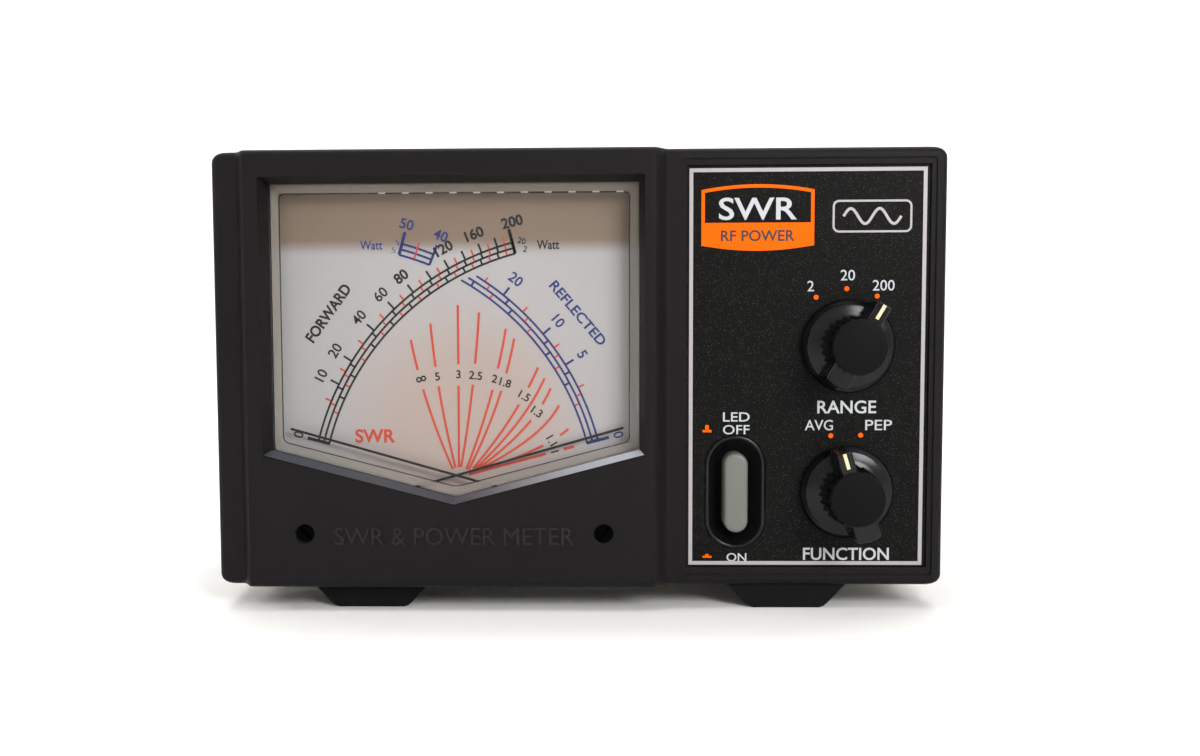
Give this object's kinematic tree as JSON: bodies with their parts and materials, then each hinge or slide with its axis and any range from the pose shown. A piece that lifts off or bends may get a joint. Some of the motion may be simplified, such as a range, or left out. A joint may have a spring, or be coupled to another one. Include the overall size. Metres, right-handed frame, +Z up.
{
  "type": "swr meter",
  "caption": "Desktop cross-needle SWR and RF power meter with a large window, two pointer knobs, an oval lamp button and rear coaxial sockets.",
  "frame": {"origin": "middle of the bounding box at its lowest level, on the plane that the four feet rest on", "axes": "+X to the right as the user sees the front, +Y from the front to the rear sockets, +Z up"},
  "size_m": [0.1686, 0.1094, 0.1041],
  "materials": {
    "black_abs": "fine-grained black ABS moulding with a satin sheen",
    "black_steel": "black powder-coated sheet steel",
    "zinc_steel": "zinc-plated sheet steel",
    "printed_plate": "black fine-grained plate with silver and orange print",
    "clear_acrylic": "clear moulded acrylic",
    "printed_dial": "matt warm-white painted dial with printed scales",
    "white_abs": "white ABS light box",
    "needle_black": "black painted thin aluminium",
    "soft_iron": "plain soft iron",
    "magnet_alloy": "ground magnet alloy",
    "brass": "stamped brass",
    "phosphor_bronze": "thin phosphor bronze strip",
    "enamelled_copper": "enamelled copper winding on a frame",
    "gloss_black": "smooth black moulded knob",
    "matt_cap": "matt black flat cap",
    "cream_inlay": "cream painted line",
    "bright_steel": "bright nickel-plated steel",
    "dark_plastic": "dark moulded phenolic",
    "grey_abs": "light grey ABS button",
    "black_rubber": "matt black rubber",
    "board_green": "green solder-masked board",
    "nickel_brass": "nickel-plated brass",
    "white_ptfe": "white insulating plastic"
  },
  "bodies": {
    "case": {"front_bezel": "black_abs", "control_panel": "printed_plate", "top_cover": "black_steel", "chassis_base": "zinc_steel", "rear_panel": "black_steel", "cover_screw_front_left": "bright_steel", "cover_screw_front_right": "bright_steel", "cover_screw_rear_left": "bright_steel", "cover_screw_rear_right": "bright_steel", "foot_front_left": "black_rubber", "foot_front_right": "black_rubber", "foot_rear_left": "black_rubber", "foot_rear_right": "black_rubber", "meter_window": "clear_acrylic", "dial_plate": "printed_dial", "meter_housing": "white_abs", "backlight_board": "board_green", "forward_yoke": "soft_iron", "forward_magnet": "magnet_alloy", "forward_bridge": "brass", "reflected_yoke": "soft_iron", "reflected_magnet": "magnet_alloy", "reflected_bridge": "brass", "range_switch": "dark_plastic", "range_nut": "bright_steel", "function_switch": "dark_plastic", "function_nut": "bright_steel", "button_bezel": "black_abs", "led_switch": "dark_plastic", "circuit_board": "board_green", "coupler_box": "zinc_steel", "coupler_line": "brass", "transmitter_socket": "nickel_brass", "transmitter_insulator": "white_ptfe", "transmitter_contact": "brass", "antenna_socket": "nickel_brass", "antenna_insulator": "white_ptfe", "antenna_contact": "brass", "dc_jack": "dark_plastic"},
    "range_control": {"range_knob": "gloss_black", "range_knob_cap": "matt_cap", "range_knob_line": "cream_inlay", "range_shaft": "bright_steel"},
    "function_control": {"function_knob": "gloss_black", "function_knob_cap": "matt_cap", "function_knob_line": "cream_inlay", "function_shaft": "bright_steel"},
    "lamp_button": {"led_button": "grey_abs"},
    "forward_pointer": {"forward_needle": "needle_black", "forward_coil": "enamelled_copper", "forward_hairspring": "phosphor_bronze"},
    "forward_adjuster": {"forward_zero_screw": "black_abs"},
    "forward_lever": {"forward_zero_lever": "brass"},
    "reflected_pointer": {"reflected_needle": "needle_black", "reflected_coil": "enamelled_copper", "reflected_hairspring": "phosphor_bronze"},
    "reflected_adjuster": {"reflected_zero_screw": "black_abs"},
    "reflected_lever": {"reflected_zero_lever": "brass"}
  },
  "joints": [
    {"name": "range_turn", "type": "hinge", "parent": "case", "child": "range_control", "pos_m": [0.0608, -0.0416, 0.0599], "axis": [0, 1, 0], "range_deg": [-60, 0]},
    {"name": "function_turn", "type": "hinge", "parent": "case", "child": "function_control", "pos_m": [0.0608, -0.0416, 0.0269], "axis": [0, 1, 0], "range_deg": [0, 30]},
    {"name": "lamp_press", "type": "slide", "parent": "case", "child": "lamp_button", "axis": [0, 1, 0], "range_m": [0, 0.003], "stiffness_N_per_m": 400},
    {"name": "forward_swing", "type": "hinge", "parent": "case", "child": "forward_pointer", "pos_m": [0.0012, -0.0341, 0.0219], "axis": [0, 1, 0], "range_deg": [0, 60], "stiffness_Nm_per_rad": 0.00002},
    {"name": "reflected_swing", "type": "hinge", "parent": "case", "child": "reflected_pointer", "pos_m": [-0.057, -0.0341, 0.0219], "axis": [0, 1, 0], "range_deg": [-60, 0], "stiffness_Nm_per_rad": 0.00002},
    {"name": "forward_zero_turn", "type": "hinge", "parent": "case", "child": "forward_adjuster", "pos_m": [0.0059, -0.0393, 0.0179], "axis": [0, 1, 0], "range_deg": [-60, 60]},
    {"name": "reflected_zero_turn", "type": "hinge", "parent": "case", "child": "reflected_adjuster", "pos_m": [-0.0617, -0.0393, 0.0179], "axis": [0, 1, 0], "range_deg": [-60, 60]},
    {"name": "forward_lever_turn", "type": "hinge", "parent": "case", "child": "forward_lever", "pos_m": [0.0012, -0.0378, 0.0219], "axis": [0, 1, 0], "range_deg": [-7, 7]},
    {"name": "reflected_lever_turn", "type": "hinge", "parent": "case", "child": "reflected_lever", "pos_m": [-0.057, -0.0378, 0.0219], "axis": [0, 1, 0], "range_deg": [-7, 7]}
  ],
  "couplings": [
    {"joint": "forward_lever_turn", "follows": "forward_zero_turn", "ratio": 0.107},
    {"joint": "reflected_lever_turn", "follows": "reflected_zero_turn", "ratio": 0.107}
  ]
}
